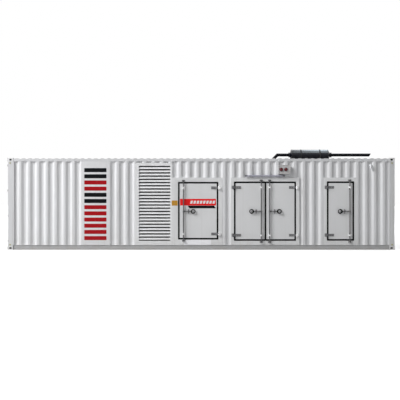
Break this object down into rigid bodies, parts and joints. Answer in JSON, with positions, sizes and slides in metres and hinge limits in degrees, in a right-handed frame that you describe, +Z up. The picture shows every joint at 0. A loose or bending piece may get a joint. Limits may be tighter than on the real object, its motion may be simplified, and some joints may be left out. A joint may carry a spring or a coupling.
{
  "type": "containerised diesel generator",
  "caption": "White high-cube freight container for a standby power set, with acoustic doors, tall intake louvre, alarm lamps and a silencer on the roof.",
  "frame": {"origin": "on the ground, at the middle of the rectangle of the four bottom corner fittings", "axes": "+X along the box, to the right seen from the side with the doors that open; that side faces -Y; +Z up"},
  "size_m": [12.192, 2.5979, 3.2543],
  "materials": {
    "container_paint": "semi-gloss white paint on corrugated steel",
    "door_paint": "semi-gloss white paint on flat steel",
    "seal_rubber": "matt black rubber",
    "hardware_steel": "dark grey paint",
    "lock_steel": "black and zinc finished steel",
    "underframe_paint": "grey underframe paint",
    "floor_steel": "grey floor paint",
    "exhaust_paint": "gloss black heat-resistant paint",
    "saddle_steel": "dark grey paint",
    "light_plastic": "frosted diffuser",
    "dark_plastic": "dark moulded plastic",
    "alarm_enamel": "white enamel",
    "lamp_glass": "dark red moulded lens",
    "bare_steel": "bare steel"
  },
  "bodies": {
    "root": {"alarm_box": "alarm_enamel", "alarm_lamps": "lamp_glass", "back_door_frames": "container_paint", "back_door_hardware": "hardware_steel", "back_door_seals": "seal_rubber", "back_doors": "door_paint", "back_louvre": "container_paint", "back_panels_over_doors": "container_paint", "back_side_panels": "container_paint", "bottom_side_rails": "container_paint", "corner_castings": "container_paint", "corner_posts": "container_paint", "door_sill_plate": "container_paint", "earthing_bosses": "bare_steel", "end_cargo_doors": "door_paint", "end_door_hardware": "hardware_steel", "end_door_seals": "seal_rubber", "end_sills_and_headers": "container_paint", "exhaust_inlet_pipe": "exhaust_paint", "exhaust_tail_pipe": "exhaust_paint", "floor_cross_members": "underframe_paint", "floor_plate": "floor_steel", "front_door_frames": "container_paint", "front_hinge_lugs": "hardware_steel", "front_lock_keepers": "hardware_steel", "front_louvre": "container_paint", "front_panels_over_doors": "container_paint", "front_side_panels": "container_paint", "right_end_louvre": "container_paint", "right_end_panels": "container_paint", "roof_collar": "saddle_steel", "roof_panel": "container_paint", "silencer": "exhaust_paint", "silencer_saddles": "saddle_steel", "strip_light_body": "light_plastic", "strip_light_caps": "dark_plastic", "top_side_rails": "container_paint", "vent_elbow": "container_paint"},
    "wide_door": {"wide_door_leaf": "door_paint", "wide_door_seal": "seal_rubber", "wide_door_fittings": "hardware_steel"},
    "wide_door_lock": {"wide_door_lock": "lock_steel"},
    "double_door_left": {"double_door_left_leaf": "door_paint", "double_door_left_seal": "seal_rubber", "double_door_left_fittings": "hardware_steel"},
    "double_door_left_lock": {"double_door_left_lock": "lock_steel"},
    "double_door_right": {"double_door_right_leaf": "door_paint", "double_door_right_seal": "seal_rubber", "double_door_right_fittings": "hardware_steel"},
    "double_door_right_lock": {"double_door_right_lock": "lock_steel"},
    "narrow_door": {"narrow_door_leaf": "door_paint", "narrow_door_seal": "seal_rubber", "narrow_door_fittings": "hardware_steel"},
    "narrow_door_lock": {"narrow_door_lock": "lock_steel"}
  },
  "joints": [
    {"name": "wide_door_hinge", "type": "hinge", "parent": "root", "child": "wide_door", "pos_m": [0.566, -1.243, 1.2], "axis": [0, 0, 1], "range_deg": [0, 120]},
    {"name": "double_door_left_hinge", "type": "hinge", "parent": "root", "child": "double_door_left", "pos_m": [1.013, -1.243, 1.2], "axis": [0, 0, 1], "range_deg": [-120, 0]},
    {"name": "double_door_right_hinge", "type": "hinge", "parent": "root", "child": "double_door_right", "pos_m": [3.011, -1.243, 1.2], "axis": [0, 0, 1], "range_deg": [0, 120]},
    {"name": "narrow_door_hinge", "type": "hinge", "parent": "root", "child": "narrow_door", "pos_m": [3.939, -1.243, 1.2], "axis": [0, 0, 1], "range_deg": [-120, 0]},
    {"name": "wide_door_lock_turn", "type": "hinge", "parent": "wide_door", "child": "wide_door_lock", "pos_m": [-0.552, -1.245, 1.2], "axis": [0, 0, -1], "range_deg": [0, 90]},
    {"name": "double_door_left_lock_turn", "type": "hinge", "parent": "double_door_left", "child": "double_door_left_lock", "pos_m": [1.892, -1.245, 1.2], "axis": [0, 0, -1], "range_deg": [-90, 0]},
    {"name": "double_door_right_lock_turn", "type": "hinge", "parent": "double_door_right", "child": "double_door_right_lock", "pos_m": [2.156, -1.245, 1.2], "axis": [0, 0, -1], "range_deg": [0, 90]},
    {"name": "narrow_door_lock_turn", "type": "hinge", "parent": "narrow_door", "child": "narrow_door_lock", "pos_m": [4.677, -1.245, 1.2], "axis": [0, 0, -1], "range_deg": [-90, 0]}
  ]
}
